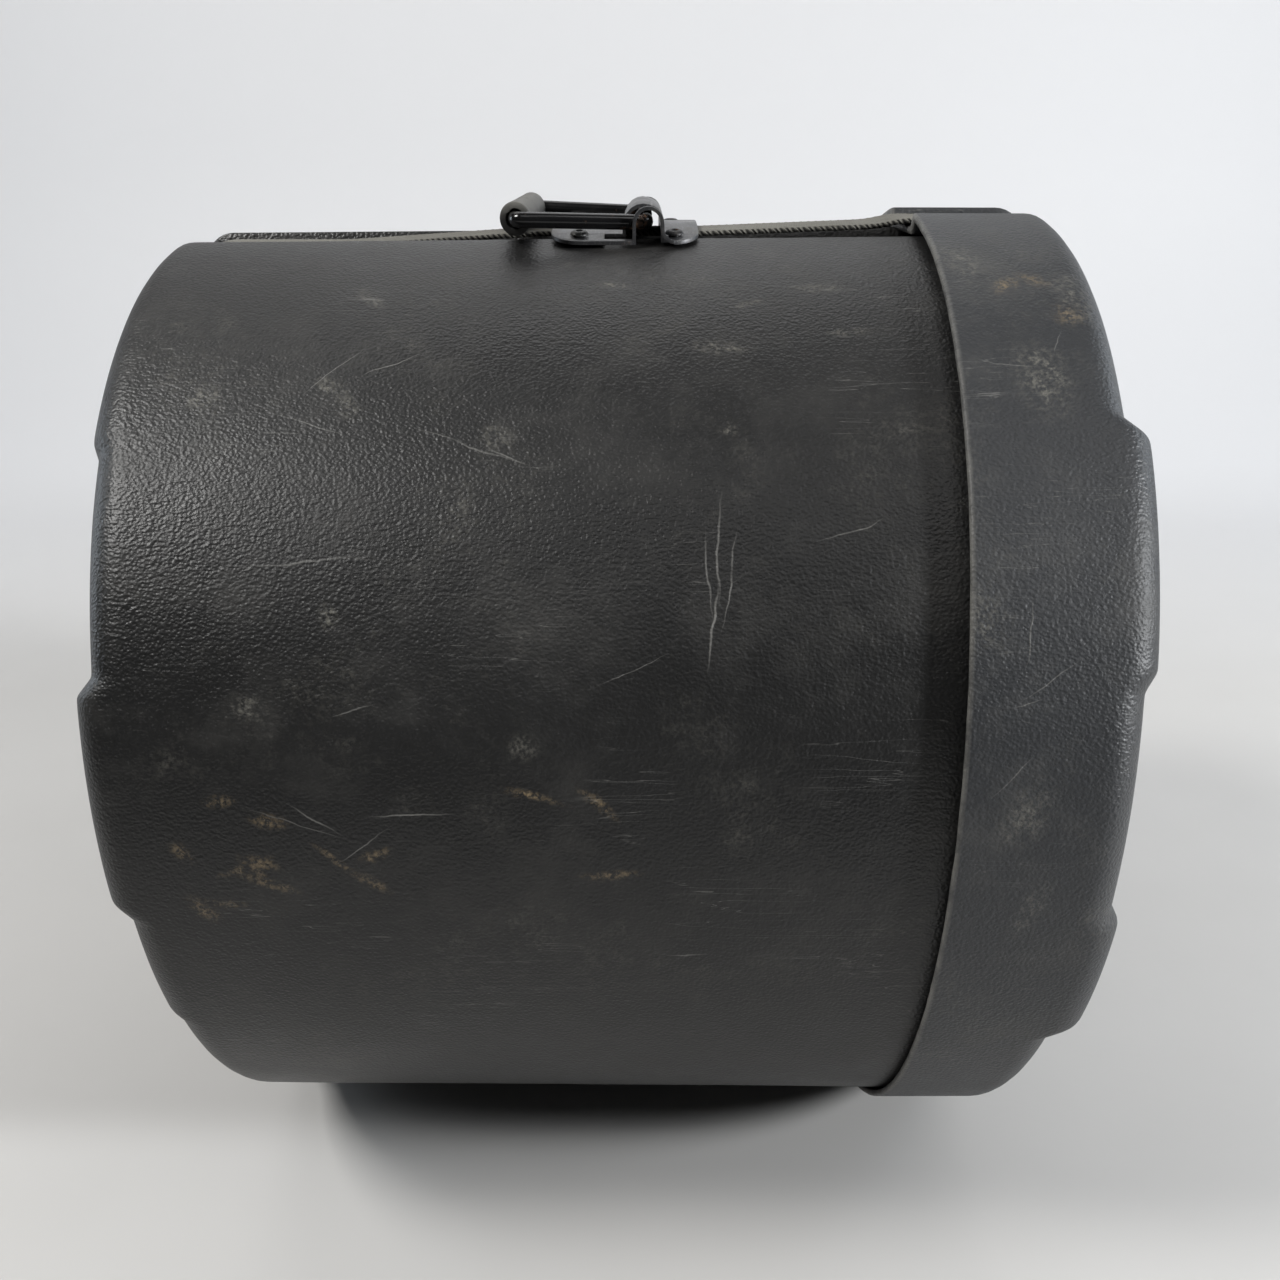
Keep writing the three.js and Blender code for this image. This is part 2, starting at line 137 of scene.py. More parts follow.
def finish_mesh(name, points, faces, uvs=None, sharp=math.radians(50)):
    """A mesh from points, faces and one (u, v) per face corner, welded, with its faces out."""
    mesh = bpy.data.meshes.new(name)
    mesh.from_pydata(points, [], faces)
    if uvs:
        layer = mesh.uv_layers.new(name="wrap")
        layer.data.foreach_set("uv", [value for uv in uvs for value in uv])
    work = bmesh.new()
    work.from_mesh(mesh)
    bmesh.ops.remove_doubles(work, verts=work.verts, dist=2e-6)
    bmesh.ops.dissolve_degenerate(work, edges=work.edges, dist=1e-6)
    bmesh.ops.recalc_face_normals(work, faces=work.faces)
    work.to_mesh(mesh)
    work.free()
    mesh.shade_smooth()
    mesh.set_sharp_from_angle(angle=sharp)
    return mesh


def grid(name, rings, closed, uv=None, caps=False, sharp=math.radians(50)):
    """Skins a list of rings of points. closed joins each ring's ends; caps fills both end rings."""
    count = len(rings[0])
    points = [p for ring in rings for p in ring]
    faces = []
    uvs = []
    for i in range(len(rings) - 1):
        for k in range(count if closed else count - 1):
            n = (k + 1) % count
            faces.append((i * count + k, i * count + n, (i + 1) * count + n, (i + 1) * count + k))
            if uv:
                uvs += [uv(i, k), uv(i, k + 1), uv(i + 1, k + 1), uv(i + 1, k)]
    if caps:
        last = (len(rings) - 1) * count
        faces.append(tuple(range(count)))
        faces.append(tuple(last + k for k in range(count)))
        if uv:
            uvs += [uv(0, k) for k in range(count)] + [uv(len(rings) - 1, k) for k in range(count)]
    return finish_mesh(name, points, faces, uvs, sharp)


def lathe(name, profile, matrix, segments=48, sharp=math.radians(40)):
    """Turns (radius, height) points in millimetres about the matrix's local Y."""
    rings = []
    for i in range(segments):
        angle = 2 * math.pi * i / segments
        rings.append([
            matrix @ (Vector((r * math.cos(angle), h, r * math.sin(angle))) * MM) for r, h in profile
        ])
    rings.append(rings[0])
    return grid(name, rings, closed=False, sharp=sharp)


# Shells
class Shell:
    def __init__(self, end, face, feet, radius, opening, half, floor, lift, pocket=None):
        self.end = end
        self.face = face
        self.feet = feet
        self.radius = radius
        self.opening = opening
        self.half = half
        self.floor = floor
        self.lift = lift
        self.pocket = pocket
        self.edge = half + 3.4 * SHOULDER
        self.reference = math.degrees(math.asin(self.edge / radius(opening)))

    def foot(self, angle):
        """How far the end face stands out at this angle, in millimetres."""
        total = 0
        for start, stop, height in self.feet:
            for turn in (-360, 0, 360):
                inside = ramp((angle + turn - start) / FLANK) - ramp((angle + turn - stop) / FLANK)
                total += height * inside
        return total

    def columns(self):
        """Lines over the shell: ("band", side, y) in the channels and ("side", start, angle) between."""
        steps = [3.4, 2.2, 1.6, 1.25, 1, 0.7, 0.3, 0, -0.3, -0.7, -1, -1.25, -1.6, -2.4, -4.5]
        across = [self.half + SHOULDER * k for k in steps]
        across += [across[-1] * k / 4 for k in (3, 2, 1, 0)]
        across += [-y for y in across[-2::-1]]
        fine = [-2.2, -1.5, -1.15, -0.85, -0.5, 0, 0.5, 0.85, 1.15, 1.5, 2.2]
        made = []
        for side, start in ((-1, -90), (1, 90)):
            low = start + self.reference
            high = start + 180 - self.reference
            ends = {place % 360 for start, stop, height in self.feet for place in (start, stop)}
            edges = [e + t for e in sorted(ends) for t in (-360, 0) if low < e + t < high]
            angles = [e + FLANK * k for e in edges for k in fine]
            count = round(high - low)
            if self.pocket:
                turn = math.degrees(math.asin(self.pocket[2] / self.radius(self.pocket[1])))
                wall = -90 + turn if side < 0 else 270 - turn
                near_wall = [wall + 0.3 * k for k in range(-3, 4)]
                angles += near_wall
                edges = edges + [wall]
            for i in range(1, count):
                angle = mix(low, high, i / count)
                if all(abs(angle - e) > 2.6 * FLANK for e in edges):
                    angles.append(angle)
            made += [("band", side, -side * y) for y in across]
            made += [("side", start, angle) for angle in sorted(angles)]
        return made

    def spread(self, start, angle, r, edge):
        """The angle of a side column where it passes radius r, so that its end columns follow the channel."""
        low = start + self.reference
        high = start + 180 - self.reference
        turn = math.degrees(math.asin(min(edge / max(r, DISC), 1))) - self.reference
        near = smooth(1 - (angle - low) / 15) - smooth(1 - (high - angle) / 15)
        moved = angle + turn * near
        if r >= DISC:
            return moved
        part = (moved - low - turn) / (high - low - 2 * turn)
        inner = math.degrees(math.asin(min(edge / r, 1)))
        return mix(start + inner, start + 180 - inner, part)

    def profile(self, kind, value, inset, foot):
        """(x, radius) of the barrel and (x, height) of the channel floor at one place along the profile."""
        end = self.end
        flat = end * (self.face - inset)
        fillet = EDGE_FILLET - inset
        hub = flat + end * (foot - fillet)
        radius = self.radius(hub) - inset
        round_in = CHANNEL_FILLET - inset
        floor_hub = end * (self.face - FACE_CHANNEL - inset - round_in)
        floor_x = end * (self.face - FACE_CHANNEL - inset)
        floor_z = self.floor - inset
        if kind == "wall":
            return value, self.radius(value) - inset, value, floor_z
        if kind == "blend":
            near = end * (self.face - BARREL_END)
            x = mix(near, hub, value)
            return x, self.radius(x) - inset, mix(near, floor_hub, value), floor_z
        if kind == "turn":
            s = math.sin(value * math.pi / 2)
            c = math.cos(value * math.pi / 2)
            return (hub + end * fillet * s, radius - fillet * (1 - c),
                    floor_hub + end * round_in * s, floor_z - round_in * (1 - c))
        slope = ramp((value - FOOT_INNER - FOOT_SLOPE / 2) / (FOOT_SLOPE / 2)) if kind == "face" else 0
        r = mix(DISC, radius - fillet, value) if kind == "share" else value
        if kind == "share":
            slope = 1
        t = (r - DISC) / (radius - fillet - DISC)
        return flat + end * foot * slope, r, floor_x, (t, floor_z - round_in)

    def point(self, column, place):
        kind, value, inset = place
        style, side, at = column
        scale = (self.half + inset) / self.half
        edge = self.edge * scale
        if kind == "disc":
            reach = math.sqrt(DISC ** 2 - edge ** 2)
            r = math.hypot(edge, reach * value)
        if style == "side":
            if kind != "disc":
                r = self.profile(kind, value, inset, self.foot(at))[1]
            angle = self.spread(side, at, r, edge)
            foot = self.foot(angle)
            if kind == "disc":
                x = self.end * (self.face - inset)
            else:
                x, r = self.profile(kind, value, inset, foot)[:2]
            y = -r * math.cos(math.radians(angle))
            z = r * math.sin(math.radians(angle))
        else:
            y = at * scale
            pressed = ramp((self.half - abs(at)) / SHOULDER)
            foot = self.foot(90 * side)
            flat = self.end * (self.face - inset)
            if kind == "disc":
                x = mix(flat, flat - self.end * FACE_CHANNEL, pressed)
                z = math.sqrt(DISC ** 2 - y ** 2) * value
            else:
                bx, br, fx, fz = self.profile(kind, value, inset, foot)
                bz = math.sqrt(br ** 2 - y ** 2)
                if isinstance(fz, tuple):
                    fz = mix(math.sqrt(DISC ** 2 - y ** 2), fz[1], fz[0])
                x = mix(bx, fx, pressed)
                z = mix(bz, fz, pressed)
            z *= side
        if self.pocket and z < 0 and kind in ("wall", "blend"):
            z = mix(z, inset - self.floor, self.pressed_pocket(x, y, inset))
        return self.settle(x, y, z, inset)

    def pressed_pocket(self, x, y, inset):
        start, stop, half = self.pocket
        along = ramp(x - start + inset) * ramp(stop - x + inset)
        return along * ramp((half + inset - abs(y)) / SHOULDER)

    def settle(self, x, y, z, inset):
        """The slight unevenness of a moulded wall, always inwards, and the knocked rim."""
        if inset < WALL / 2:
            dent = 0.28 * (1 + noise.noise(Vector((x / 95, y / 80, z / 80))))
            dent += 0.05 * (1 + noise.noise(Vector((x / 22, y / 18, z / 18))))
            r = math.hypot(y, z)
            if r > 1:
                y *= 1 - dent / r
                z *= 1 - dent / r
        back = abs(x - self.opening)
        if back < 2.5:
            chip = 0.25 * noise.noise(Vector((3, y / 14, z / 14)))
            chip += 0.6 * max(0, noise.noise(Vector((9, y / 5, z / 5))) - 0.35)
            x += self.end * (0.2 + chip) * (1 - back / 2.5)
        return row(x, y, z + self.lift)

    def walls(self, places, inset):
        """Rows along the wall, with closer ones at both ends of the pocket."""
        if self.pocket:
            ends = (self.pocket[0] - inset, self.pocket[1] + inset)
            places = [x for x in places if all(abs(x - e) > 3 for e in ends)]
            places += [e + k for e in ends for k in (-1.6, -1, -0.5, 0, 0.5, 1, 1.6)]
            places.sort(reverse=inset > 0)
        return [("wall", x, inset) for x in places]

    def rows(self):
        end = self.end
        near = end * (self.face - BARREL_END)
        lip = [(1.4, 0), (0.8, 0.08), (0.35, 0.4), (0.08, 1), (0, 1.8), (0.08, 2.6), (0.35, 3.2), (0.9, WALL)]
        made = [("disc", k / 12, 0) for k in range(13)]
        slope = [147, 147.6, 148.2, 149, 150, 151, 152, 153, 153.8, 154.4, 155.2, 156.5]
        made += [("face", r, 0) for r in slope]
        made += [("share", k / 6, 0) for k in (1.2, 2, 3, 4, 5)]
        made += [("turn", k / 9, 0) for k in range(9, -1, -1)]
        made += [("blend", k / 4, 0) for k in (3, 2, 1)]
        count = round(abs(self.opening - near) / 9)
        made += self.walls([mix(near, self.opening + end * 3, k / count) for k in range(count + 1)], 0)
        made += [("wall", self.opening + end * back, inset) for back, inset in lip]
        made += self.walls([mix(self.opening + end * 8, near, k / 6) for k in range(7)], WALL)
        made += [("blend", 0.5, WALL)]
        made += [("turn", k / 4, WALL) for k in range(5)]
        made += [("share", k / 2, WALL) for k in (1.5, 1, 0.35)]
        made += [("face", r, WALL) for r in (156.5, 154.5, 153, 151, 149, 147.6)]
        made += [("disc", k / 4, WALL) for k in range(4, -1, -1)]
        return made

    def mesh(self, name):
        columns = self.columns()
        rows = self.rows()
        rings = [[self.point(column, place) for column in columns] for place in rows]
        along = [0]
        sample = len(columns) // 4
        for a, b in zip(rings, rings[1:]):
            along.append(along[-1] + (b[sample] - a[sample]).length)
        around = [0]
        widest = rings[len([r for r in rows if r[2] == 0]) - 6]
        for k in range(len(columns)):
            around.append(around[-1] + (widest[(k + 1) % len(columns)] - widest[k]).length)
        return grid(name, rings, closed=True, uv=lambda i, k: (along[i], around[k]))


def base_radius(x):
    return MOUTH_RADIUS - DRAFT * (MOUTH_X - x)


base_form = Shell(-1, BASE_FACE, BASE_FEET, base_radius, MOUTH_X, CHANNEL_HALF, CHANNEL_RADIUS, 0,
                  POCKET)
lid_form = Shell(1, LID_FACE, LID_FEET, lambda x: LID_RADIUS, RIM_X, LID_CHANNEL_HALF, LID_CHANNEL_RADIUS,
                 LID_LIFT)


# Materials
class Nodes:
    def __init__(self, name):
        self.material = bpy.data.materials.new(name)
        self.material.use_nodes = True
        self.tree = self.material.node_tree
        self.tree.nodes.clear()
        self.shader = self.add("ShaderNodeBsdfPrincipled")
        self.out = self.add("ShaderNodeOutputMaterial")
        self.tree.links.new(self.shader.outputs[0], self.out.inputs[0])

    def add(self, kind, **settings):
        node = self.tree.nodes.new(kind)
        for key, value in settings.items():
            setattr(node, key, value)
        return node

    def put(self, socket, value):
        if isinstance(value, bpy.types.NodeSocket):
            self.tree.links.new(value, socket)
        elif value is not None:
            socket.default_value = value

    def where(self, kind="Object", scale=(1, 1, 1), turn=(0, 0, 0), shift=(0, 0, 0)):
        source = self.add("ShaderNodeTexCoord").outputs[kind]
        mapping = self.add("ShaderNodeMapping")
        self.put(mapping.inputs["Vector"], source)
        mapping.inputs["Scale"].default_value = scale
        mapping.inputs["Rotation"].default_value = turn
        mapping.inputs["Location"].default_value = shift
        return mapping.outputs[0]

    def noise(self, vector, scale, detail=3, rough=0.5):
        node = self.add("ShaderNodeTexNoise")
        self.put(node.inputs["Vector"], vector)
        node.inputs["Scale"].default_value = scale
        node.inputs["Detail"].default_value = detail
        node.inputs["Roughness"].default_value = rough
        return node.outputs["Fac"]

    def cells(self, vector, scale, feature):
        node = self.add("ShaderNodeTexVoronoi", feature=feature)
        self.put(node.inputs["Vector"], vector)
        node.inputs["Scale"].default_value = scale
        return node.outputs["Distance"]

    def span(self, value, low, high, to_low=0, to_high=1, style="LINEAR"):
        node = self.add("ShaderNodeMapRange", interpolation_type=style)
        self.put(node.inputs["Value"], value)
        node.inputs["From Min"].default_value = low
        node.inputs["From Max"].default_value = high
        node.inputs["To Min"].default_value = to_low
        node.inputs["To Max"].default_value = to_high
        return node.outputs[0]

    def math(self, operation, a, b=None, c=None):
        node = self.add("ShaderNodeMath", operation=operation)
        self.put(node.inputs[0], a)
        self.put(node.inputs[1], b)
        self.put(node.inputs[2], c)
        return node.outputs[0]

    def blend(self, factor, a, b):
        node = self.add("ShaderNodeMix", data_type="RGBA")
        self.put(node.inputs["Factor"], factor)
        self.put(node.inputs[6], a)
        self.put(node.inputs[7], b)
        return node.outputs[2]

    def bump(self, height, distance, strength=1, normal=None):
        node = self.add("ShaderNodeBump")
        node.inputs["Strength"].default_value = strength
        node.inputs["Distance"].default_value = distance
        self.put(node.inputs["Height"], height)
        self.put(node.inputs["Normal"], normal)
        return node.outputs[0]

    def surface(self, color, roughness, normal=None, metallic=0, specular=0.5):
        self.put(self.shader.inputs["Base Color"], color)
        self.put(self.shader.inputs["Roughness"], roughness)
        self.put(self.shader.inputs["Normal"], normal)
        self.put(self.shader.inputs["Metallic"], metallic)
        self.shader.inputs["Specular IOR Level"].default_value = specular
        return self.material


def scattered(seed, zones):
    """Soft ellipses (x, height, half length, half width, turn, weight) drawn at random inside zones.

    A zone is a count and a (low, high) range for each value, in millimetres and degrees. Heights run up
    round the unrolled wall from halfway up the front.
    """
    draw = random.Random(seed)
    places = []
    for count, *ranges in zones:
        for _ in range(count):
            places.append([draw.uniform(low, high) for low, high in ranges])
    return places


# Base scuffs: shoulder at the closed end, under the handle, front, then top and back
BASE_SCUFFS = scattered(4, [
    (5, (-170, -90), (200, 290), (8, 18), (4, 8), (-80, -20), (0.5, 0.9)),
    (5, (0, 100), (230, 310), (8, 18), (3, 6), (-60, 40), (0.5, 0.8)),
    (6, (-150, 120), (50, 200), (5, 14), (4, 9), (-40, 40), (0.5, 0.9)),
    (6, (-180, 100), (380, 900), (20, 40), (10, 20), (-30, 30), (0.4, 0.5)),
])
# Sandy rub marks low on the front: the corner at the closed end, then the middle
BASE_RUBS = scattered(7, [
    (9, (-170, -120), (-10, 60), (8, 16), (3, 6), (-60, 40), (0.6, 1)),
    (6, (-110, 20), (0, 50), (10, 18), (2, 4), (-40, 30), (0.6, 1)),
])
# Scratches: a few upright ones near the lid, then a loose spread over the front
BASE_SCRATCHES = scattered(12, [
    (4, (40, 60), (80, 160), (18, 28), (0.4, 0.8), (82, 95), (0.6, 1)),
    (14, (-120, 100), (-40, 250), (8, 34), (0.3, 0.6), (-40, 50), (0.5, 0.8)),
])
LID_SCUFFS = scattered(5, [
    (7, (140, 190), (-40, 300), (8, 18), (10, 26), (-30, 30), (0.4, 0.8)),
    (3, (150, 180), (400, 720), (16, 20), (20, 30), (0, 30), (0.4, 0.5)),
])
LID_RUBS = scattered(9, [
    (3, (140, 190), (240, 300), (5, 12), (4, 12), (-50, 0), (0.6, 0.9)),
])
LID_SCRATCHES = scattered(2, [
    (6, (145, 180), (30, 240), (8, 20), (0.3, 0.5), (-40, 90), (0.5, 0.7)),
])


def unrolled(n):
    """The wall of the case laid flat: metres along the case and up round it from the front."""
    split = n.add("ShaderNodeSeparateXYZ")
    n.put(split.inputs[0], n.where(shift=(0, 0, -AXIS * MM)))
    angle = n.math("ARCTAN2", split.outputs["Z"], n.math("MULTIPLY", split.outputs["Y"], -1.0))
    turned = n.math("MULTIPLY_ADD", n.math("LESS_THAN", angle, -math.pi / 4), 2 * math.pi, angle)
    flat = n.add("ShaderNodeCombineXYZ")
    n.put(flat.inputs["X"], split.outputs["X"])
    n.put(flat.inputs["Y"], n.math("MULTIPLY", turned, WALL_RADIUS * MM))
    wander = n.add("ShaderNodeTexNoise")
    n.put(wander.inputs["Vector"], n.where())
    wander.inputs["Scale"].default_value = 38
    wander.inputs["Detail"].default_value = 4
    offset = n.add("ShaderNodeVectorMath", operation="MULTIPLY_ADD")
    n.put(offset.inputs[0], wander.outputs["Color"])
    offset.inputs[1].default_value = (0.008, 0.008, 0)
    n.put(offset.inputs[2], flat.outputs[0])
    return offset.outputs[0]


def marks(n, flat, places, edge):
    """A mask of soft ellipses at the given places of the unrolled wall."""
    total = None
    for x, height, length, width, turn, weight in places:
        spot = n.add("ShaderNodeMapping", vector_type="TEXTURE")
        n.put(spot.inputs["Vector"], flat)
        spot.inputs["Location"].default_value = (x * MM, height * MM, 0)
        spot.inputs["Rotation"].default_value = (0, 0, math.radians(turn))
        spot.inputs["Scale"].default_value = (length * MM, width * MM, 1)
        reach = n.add("ShaderNodeVectorMath", operation="LENGTH")
        n.put(reach.inputs[0], spot.outputs[0])
        mask = n.span(reach.outputs["Value"], edge, 1, weight, 0, "SMOOTHSTEP")
        total = mask if total is None else n.math("MAXIMUM", total, mask)
    return total


def shell_material(name, scuffs, rubs, scratches, tones, gloss, rim):
    n = Nodes(name)
    here = n.where()
    flat = unrolled(n)
    split = n.add("ShaderNodeSeparateXYZ")
    n.put(split.inputs[0], here)
    dark, light, dusty = tones
    ridges = n.cells(n.where(scale=(0.8, 1, 1)), 880, "SMOOTH_F1")
    grain = n.math("MULTIPLY_ADD", n.noise(here, 620, 2, 0.6), 0.9, ridges)
    peaks = n.span(grain, 0.55, 0.95)
    cloud = n.noise(here, 6, 4, 0.6)
    grime = n.noise(here, 28, 6, 0.72)
    ragged = n.span(n.noise(here, 170, 5, 0.75), 0.36, 0.62)
    speckle = n.span(n.noise(here, 520, 3, 0.7), 0.42, 0.58)
    scuffed = n.math("MULTIPLY", n.math("MULTIPLY", marks(n, flat, scuffs, 0.1), ragged), speckle)
    sandy = n.math("MULTIPLY", n.math("MULTIPLY", marks(n, flat, rubs, 0.05), ragged), speckle)
    stray = n.math("MULTIPLY", n.span(n.noise(here, 17, 6, 0.7), 0.54, 0.72, 0, 0.32), ragged)
    stray = n.math("MULTIPLY", stray, speckle)
    hair = n.noise(n.where(scale=(1, 22, 22), turn=(0.3, 0.1, 0.6)), 9, 3, 0.5)
    hairs = n.span(n.math("ABSOLUTE", n.math("SUBTRACT", hair, 0.5)), 0.0012, 0.0045, 0.45, 0)
    hairs = n.math("MULTIPLY", hairs, n.span(n.noise(here, 19, 2), 0.52, 0.66))
    cuts = n.math("MULTIPLY", marks(n, flat, scratches, 0.1), n.span(n.noise(here, 90, 3), 0.3, 0.5, 0.3, 1))
    cuts = n.math("MAXIMUM", cuts, hairs)
    from_rim = n.math("ABSOLUTE", n.math("SUBTRACT", split.outputs["X"], rim * MM))
    edge = n.span(from_rim, 0.0004, 0.0022, 0.9, 0)
    edge = n.math("MULTIPLY", edge, n.span(n.noise(here, 70, 5, 0.7), 0.34, 0.56, 0.25, 1))
    rubbed = n.math("MAXIMUM", scuffed, stray)
    rubbed = n.math("MULTIPLY", rubbed, n.span(peaks, 0, 1, 0.35, 1))
    color = n.blend(cloud, dark, light)
    color = n.blend(n.span(grime, 0.5, 0.72, 0, 0.35), color, dusty)
    color = n.blend(rubbed, color, (0.21, 0.20, 0.17, 1))
    color = n.blend(sandy, color, (0.24, 0.18, 0.105, 1))
    color = n.blend(n.math("MULTIPLY", cuts, 0.75), color, (0.25, 0.245, 0.23, 1))
    color = n.blend(n.math("MULTIPLY", edge, 0.8), color, (0.20, 0.195, 0.18, 1))
    rough = n.span(cloud, 0.3, 0.7, gloss - 0.06, gloss + 0.07)
    rough = n.math("MULTIPLY_ADD", rubbed, 0.22, rough)
    rough = n.math("MULTIPLY_ADD", n.span(grime, 0.45, 0.7), 0.08, rough)
    normal = n.bump(grain, 0.00036, 0.85)
    normal = n.bump(cuts, 0.00015, 0.5, normal)
    return n.surface(color, rough, normal)


def metal_material(name, color, roughness, metallic, rust):
    n = Nodes(name)
    here = n.where()
    cloud = n.noise(here, 45, 5, 0.65)
    tone = n.blend(cloud, [c * 0.7 for c in color] + [1], [c * 1.3 for c in color] + [1])
    dust = n.span(n.noise(here, 95, 6, 0.7), 0.48, 0.72, 0, 0.5)
    tone = n.blend(dust, tone, (0.16, 0.15, 0.13, 1))
    hair = n.noise(n.where(scale=(14, 1, 3), turn=(0, 0, 0.9)), 60, 3, 0.5)
    scratch = n.span(n.math("ABSOLUTE", n.math("SUBTRACT", hair, 0.5)), 0.002, 0.008, 0.7, 0)
    tone = n.blend(scratch, tone, (0.30, 0.30, 0.30, 1))
    rusty = n.span(n.noise(here, 130, 6, 0.75), 0.66 - rust, 0.74 - rust * 0.5)
    tone = n.blend(n.math("MULTIPLY", rusty, 0.85), tone, (0.13, 0.055, 0.022, 1))
    rough = n.span(cloud, 0.3, 0.7, roughness - 0.07, roughness + 0.1)
    rough = n.math("MULTIPLY_ADD", dust, 0.25, rough)
    rough = n.math("MULTIPLY_ADD", rusty, 0.35, rough)
    clean = n.span(rusty, 0, 1, metallic, 0.05)
    clean = n.math("MULTIPLY", clean, n.span(dust, 0, 1, 1, 0.5))
    normal = n.bump(n.noise(here, 700, 4, 0.6), 0.00004, 0.6)
    normal = n.bump(n.math("MULTIPLY_ADD", scratch, -0.4, rusty), 0.00006, 0.6, normal)
    return n.surface(tone, rough, normal, clean)


def rod_material():
    n = Nodes("rod_enamel")
    here = n.where()
    split = n.add("ShaderNodeSeparateXYZ")
    n.put(split.inputs[0], here)
    hinge = n.span(split.outputs["X"], (HINGE[0] - 30) * MM, (HINGE[0] - 2) * MM)
    worn = n.math("MULTIPLY_ADD", hinge, 0.11, n.noise(here, 210, 6, 0.75))
    rusty = n.span(worn, 0.64, 0.74)
    cloud = n.noise(here, 70, 4, 0.6)
    tone = n.blend(cloud, (0.005, 0.005, 0.0055, 1), (0.011, 0.011, 0.0115, 1))
    dust = n.span(n.noise(here, 160, 5, 0.7), 0.58, 0.8, 0, 0.15)
    tone = n.blend(dust, tone, (0.06, 0.055, 0.048, 1))
    tone = n.blend(rusty, tone, (0.09, 0.042, 0.018, 1))
    rough = n.span(cloud, 0.3, 0.7, 0.12, 0.22)
    rough = n.math("MULTIPLY_ADD", dust, 0.5, rough)
    rough = n.math("MULTIPLY_ADD", rusty, 0.45, rough)
    normal = n.bump(n.math("ADD", rusty, n.math("MULTIPLY", cloud, 0.4)), 0.00005, 0.5)
    return n.surface(tone, rough, normal)


def grip_material():
    n = Nodes("grip_plastic")
    here = n.where()
    split = n.add("ShaderNodeSeparateXYZ")
    n.put(split.inputs[0], n.where(kind="Generated"))
    cloud = n.noise(here, 60, 5, 0.65)
    # The upper half of the grip is drawn lighter, in cloudy patches, from near-black up to mid grey.
    lighter_on_top = n.math("MULTIPLY", n.span(split.outputs["Z"], 0.45, 1), n.span(cloud, 0.3, 0.6, 0.35, 1))
    worn = n.span(n.noise(n.where(scale=(1, 0.3, 1)), 240, 5, 0.7), 0.5, 0.68, 0, 0.5)
    tone = n.blend(lighter_on_top, (0.016, 0.0155, 0.015, 1), (0.15, 0.145, 0.13, 1))
    tone = n.blend(worn, tone, (0.04, 0.038, 0.034, 1))
    rough = n.span(cloud, 0.3, 0.7, 0.5, 0.7)
    normal = n.bump(n.noise(here, 800, 3, 0.6), 0.00006, 0.6)
    normal = n.bump(worn, 0.0001, 0.6, normal)
    return n.surface(tone, rough, normal)


def webbing_material():
    n = Nodes("webbing")
    here = n.where()
    split = n.add("ShaderNodeSeparateXYZ")
    n.put(split.inputs[0], here)
    threads = n.math("SINE", n.math("MULTIPLY", split.outputs["Y"], 2 * math.pi / 0.0026))
    picks = n.math("SINE", n.math("MULTIPLY", n.math("ADD", split.outputs["X"], split.outputs["Z"]),
                                  2 * math.pi / 0.0018))
    weave = n.span(n.math("MULTIPLY", threads, picks), -1, 1)
    cloud = n.noise(here, 26, 5, 0.65)
    fuzz = n.noise(here, 1400, 3, 0.7)
    side = n.span(n.math("ABSOLUTE", split.outputs["Y"]), 0.0176, 0.0184)
    # Painted shade: the hollows between the teeth along both woven edges are drawn near-black.
    tooth = n.math("SINE", n.math("MULTIPLY", n.math("ADD", split.outputs["X"], split.outputs["Z"]),
                                  2 * math.pi / 0.0027))
    painted_tooth_shade = n.math("MULTIPLY", side, n.span(tooth, -0.3, 0.3))
    tone = n.blend(cloud, (0.15, 0.145, 0.125, 1), (0.29, 0.28, 0.25, 1))
    tone = n.blend(n.span(weave, 0, 1, 0.45, 0), tone, (0.07, 0.066, 0.058, 1))
    tone = n.blend(n.span(n.noise(here, 70, 6, 0.75), 0.55, 0.72, 0, 0.6), tone, (0.06, 0.055, 0.045, 1))
    # Painted shade in the edge teeth.
    tone = n.blend(painted_tooth_shade, tone, (0.022, 0.021, 0.019, 1))
    rough = n.span(fuzz, 0.3, 0.7, 0.82, 0.98)
    normal = n.bump(n.math("MULTIPLY_ADD", fuzz, 0.5, weave), 0.00035, 0.7)
    return n.surface(tone, rough, normal, specular=0.25)


def moulded_material(name, color, roughness, depth, scale, dusty):
    n = Nodes(name)
    here = n.where()
    cloud = n.noise(here, 40, 5, 0.65)
    tone = n.blend(cloud, [c * 0.7 for c in color] + [1], [c * 1.3 for c in color] + [1])
    tone = n.blend(n.span(n.noise(here, 120, 6, 0.7), 0.5, 0.72, 0, dusty), tone, (0.15, 0.145, 0.13, 1))
    hair = n.noise(n.where(scale=(3, 14, 1), turn=(0, 0, 0.5)), 70, 3, 0.5)
    scratch = n.span(n.math("ABSOLUTE", n.math("SUBTRACT", hair, 0.5)), 0.002, 0.009, 0.35, 0)
    tone = n.blend(scratch, tone, [min(c * 4 + 0.05, 0.4) for c in color] + [1])
    rough = n.span(cloud, 0.3, 0.7, roughness - 0.08, min(roughness + 0.1, 1))
    normal = n.bump(n.noise(here, scale, 4, 0.65), depth, 0.6)
    normal = n.bump(scratch, 0.00006, 0.4, normal)
    return n.surface(tone, rough, normal)


BODY_TONES = [(0.0065, 0.0065, 0.0066, 1), (0.013, 0.0128, 0.0125, 1), (0.048, 0.046, 0.042, 1)]
LID_TONES = [(0.021, 0.0225, 0.025, 1), (0.037, 0.0385, 0.041, 1), (0.085, 0.083, 0.078, 1)]

